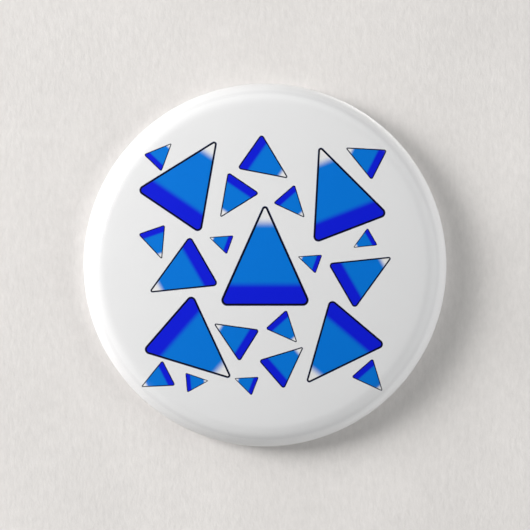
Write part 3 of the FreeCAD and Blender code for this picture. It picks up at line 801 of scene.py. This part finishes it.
# ---------------------------------------------------------------- operators


class BADGE_OT_printed_sheet(bpy.types.Operator):
    """Make the printed paper that lies over the shell"""

    bl_idname = "badge.printed_sheet"
    bl_label = "Printed Sheet"

    def execute(self, context):
        skin = context.scene.badge_skin
        inner = skin.sheet_inset + skin.sheet_thickness
        points, faces = skin_surface(skin, skin.sheet_inset, inner, 0.0)
        sheet = mesh_object("printed_sheet", points, faces)
        wear(sheet, printed_finish(context.scene.badge_print))
        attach(sheet, "badge")
        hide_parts("printed_paper")
        return {"FINISHED"}


class BADGE_OT_film(bpy.types.Operator):
    """Make the clear film over the printed paper"""

    bl_idname = "badge.film"
    bl_label = "Clear Film"

    def execute(self, context):
        skin = context.scene.badge_skin
        points, faces = skin_surface(skin, 0.0, skin.film_thickness, 1.0)
        film = mesh_object("film_skin", points, faces)
        film.visible_diffuse = False
        wear(film, film_finish(context.scene.badge_print))
        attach(film, "badge")
        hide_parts("clear_film")
        return {"FINISHED"}


class BADGE_OT_tinplate(bpy.types.Operator):
    """Finish the front shell and the back plate as pressed tinplate"""

    bl_idname = "badge.tinplate"
    bl_label = "Pressed Tinplate"

    def execute(self, context):
        look = context.scene.badge_tin
        wear(
            frame["nodes"]["front_shell"],
            metal_finish(
                "shell_tinplate", look, lines=(160.0, 300.0, 2600.0),
                scratches=(100.0, 300.0, 900.0), patches=120.0, smooth=0.3, rough=0.5, bump=0.15))
        wear(
            frame["nodes"]["back_plate"],
            metal_finish(
                "back_tinplate", look, lines=(70.0, 120.0, 2400.0),
                scratches=(60.0, 260.0, 700.0), patches=85.0, smooth=0.16, rough=0.34, bump=0.1))
        return {"FINISHED"}


class BADGE_OT_wire(bpy.types.Operator):
    """Finish the anchor leg and the needle, and make the coil between them"""

    bl_idname = "badge.wire"
    bl_label = "Spring Wire"

    def execute(self, context):
        wire = context.scene.badge_wire
        nickel = {"patches": 420.0, "smooth": 0.12, "rough": 0.3, "bump": 0.1}
        drawn = metal_finish(
            "drawn_nickel_wire", wire, lines=(140.0, 5200.0, 5200.0),
            scratches=(90.0, 1800.0, 1800.0), **nickel)
        wear(frame["nodes"]["pin_anchor_leg"], drawn)
        wear(frame["nodes"]["pin_needle"], drawn)
        low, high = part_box("pin_coil")
        axis = Vector((low.x + wire.coil_radius + wire.wire_radius, 0.0, (low.z + high.z) / 2))
        start = np.array([axis.x, low.y + wire.wire_radius, axis.z])
        points, faces, along, round_wire = coil_surface(wire, start)
        coil = mesh_object("spring_coil", points, faces)
        run_along_wire(coil, along, round_wire)
        wear(
            coil,
            metal_finish(
                "coiled_nickel_wire", wire, lines=(140.0, 5200.0, 1.0),
                scratches=(90.0, 1800.0, 1.0), place="UV", **nickel))
        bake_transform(coil)
        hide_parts("pin_coil")
        return {"FINISHED"}


def run_along_wire(coil, along, round_wire):
    """Gives the coil a UV map in metres: along the wire, and round it."""
    mesh = coil.data
    rings, around = len(along), len(round_wire)
    layer = mesh.uv_layers.new(name="along_wire")
    corner = np.empty(len(mesh.loops), np.int32)
    mesh.loops.foreach_get("vertex_index", corner)
    ring = np.minimum(corner // around, rings - 1)
    step = corner % around
    places = np.stack([along[ring], round_wire[step]], axis=-1)
    layer.data.foreach_set("uv", places.astype(np.float32).ravel())


class BADGE_OT_stage(bpy.types.Operator):
    """Make the plaster backdrop, the camera and the studio light"""

    bl_idname = "badge.stage"
    bl_label = "Stage"

    def execute(self, context):
        scene = context.scene
        stage = scene.badge_stage
        points, faces = backdrop_surface(stage.backdrop_gap)
        backdrop = mesh_object("backdrop", points, faces)
        wear(backdrop, plaster_finish(tuple(stage.plaster)))
        backdrop.visible_shadow = False
        add_camera(scene, stage)
        add_lamps(stage)
        light_world(scene)
        scene.view_settings.view_transform = "Standard"
        return {"FINISHED"}


def add_camera(scene, stage):
    """Puts a long lens straight in front of the badge."""
    data = bpy.data.cameras.new("camera")
    data.sensor_width = 36.0
    data.lens = data.sensor_width * stage.camera_distance / stage.view_width
    data.clip_start = 0.01
    data.clip_end = 20.0
    camera = bpy.data.objects.new("camera", data)
    camera.location = (0.0, -stage.camera_distance, 0.0)
    camera.rotation_euler = (math.pi / 2, 0.0, 0.0)
    scene.collection.objects.link(camera)
    scene.camera = camera


def add_lamps(stage):
    """Adds soft lamps: a key and a front lamp from the upper left, two fills, and two for the back."""
    # Name, place, size, watts and colour.
    lamps = (
        ("key_lamp", (-0.874, -0.407, 0.267), 0.5, stage.key_power, (1.0, 0.987, 0.976)),
        ("front_lamp", (-0.78, -0.55, 0.3), 0.5, 3.9, (1.0, 0.987, 0.976)),
        ("right_fill", (0.85, -0.62, -0.1), 0.5, 2.3, (0.99, 1.0, 0.99)),
        ("edge_fill", (1.05, -0.3, -0.1), 0.5, 3.3, (1.0, 0.985, 1.0)),
        ("back_lamp_left", (0.5, 0.9, 0.7), 0.5, 6.0, (1.0, 0.99, 0.97)),
        ("back_lamp_right", (-0.9, 0.7, 0.1), 0.4, 4.0, (0.97, 0.985, 1.0)),
    )
    for name, place, size, power, colour in lamps:
        data = bpy.data.lights.new(name, "AREA")
        data.shape = "DISK"
        data.size = size
        data.energy = power
        data.color = colour
        lamp = bpy.data.objects.new(name, data)
        lamp.location = place
        lamp.rotation_euler = (-Vector(place)).to_track_quat("-Z", "Y").to_euler()
        lamp.visible_camera = False
        lamp.visible_glossy = not name.endswith("_fill")
        bpy.context.scene.collection.objects.link(lamp)
    keep_off_backdrop(bpy.data.objects["edge_fill"])


def keep_off_backdrop(lamp):
    """Makes a lamp light the badge alone, as a flag between it and the backdrop would."""
    lit = bpy.data.collections.new("badge_pieces")
    for piece in bpy.data.objects:
        if piece.type == "MESH" and piece.name != "backdrop":
            lit.objects.link(piece)
    lamp.light_linking.receiver_collection = lit


def light_world(scene):
    """Makes pale surroundings, a little brighter overhead.

    They are dark straight in front of the badge, so that its print stays deep, and dim just before
    the backdrop's plane, so that the rim stands out from it.
    """
    world = bpy.data.worlds.new("studio")
    world.use_nodes = True
    tree = world.node_tree
    tree.nodes.clear()
    links = tree.links
    way = add(tree, "TexCoord").outputs["Generated"]
    parts = add(tree, "SeparateXYZ")
    links.new(way, parts.inputs[0])
    depth = parts.outputs["Y"]
    round_camera = spread(tree, depth, -0.88, -0.5, smooth=True)
    overhead = spread(tree, parts.outputs["Z"], -0.8, 0.8, 0.75, 1.15)
    beside_badge = spread(tree, depth, -0.36, -0.2, 1.0, 0.12)
    behind_badge = spread(tree, depth, 0.0, 0.06)
    level = math_node(tree, "MULTIPLY", round_camera, overhead)
    level = math_node(
        tree, "MULTIPLY", level, math_node(tree, "MAXIMUM", beside_badge, behind_badge))
    background = add(tree, "Background", {"Color": (0.99, 1.0, 0.99, 1.0)})
    strength = math_node(tree, "MULTIPLY", level, SURROUNDINGS)
    seen = add(tree, "LightPath").outputs["Is Camera Ray"]
    shown = blend_numbers(tree, seen, strength, BACKGROUND_SEEN)
    links.new(shown, background.inputs["Strength"])
    end = tree.nodes.new("ShaderNodeOutputWorld")
    links.new(background.outputs[0], end.inputs["Surface"])
    scene.world = world


class BADGE_PT_panel(bpy.types.Panel):
    """Lists the pieces of the badge and their settings"""

    bl_label = "Button Badge"
    bl_idname = "BADGE_PT_panel"
    bl_space_type = "VIEW_3D"
    bl_region_type = "UI"
    bl_category = "Badge"

    def draw(self, context):
        for owner, operators in PANEL_ROWS:
            box = self.layout.box()
            for operator in operators:
                box.operator(operator.bl_idname)
            settings = getattr(context.scene, owner)
            for name in settings.__annotations__:
                box.prop(settings, name)


PANEL_ROWS = (
    ("badge_skin", (BADGE_OT_printed_sheet, BADGE_OT_film)),
    ("badge_print", ()),
    ("badge_tin", (BADGE_OT_tinplate,)),
    ("badge_wire", (BADGE_OT_wire,)),
    ("badge_stage", (BADGE_OT_stage,)),
)
SETTINGS = {
    "badge_skin": SkinSettings,
    "badge_print": PrintSettings,
    "badge_tin": TinSettings,
    "badge_wire": WireSettings,
    "badge_stage": StageSettings,
}
OPERATORS = (
    BADGE_OT_printed_sheet,
    BADGE_OT_film,
    BADGE_OT_tinplate,
    BADGE_OT_wire,
    BADGE_OT_stage,
)


def register():
    """Registers every class and hangs the settings on the scene."""
    for kind in (*SETTINGS.values(), *OPERATORS, BADGE_PT_panel):
        bpy.utils.register_class(kind)
    for name, kind in SETTINGS.items():
        setattr(bpy.types.Scene, name, PointerProperty(type=kind))


def unregister():
    """Takes the settings off the scene and unregisters every class."""
    for name in SETTINGS:
        delattr(bpy.types.Scene, name)
    for kind in reversed((*SETTINGS.values(), *OPERATORS, BADGE_PT_panel)):
        bpy.utils.unregister_class(kind)


def main():
    """Builds every piece in order."""
    register()
    bpy.ops.badge.printed_sheet()
    bpy.ops.badge.film()
    bpy.ops.badge.tinplate()
    bpy.ops.badge.wire()
    bpy.ops.badge.stage()


if __name__ == "__main__":
    main()
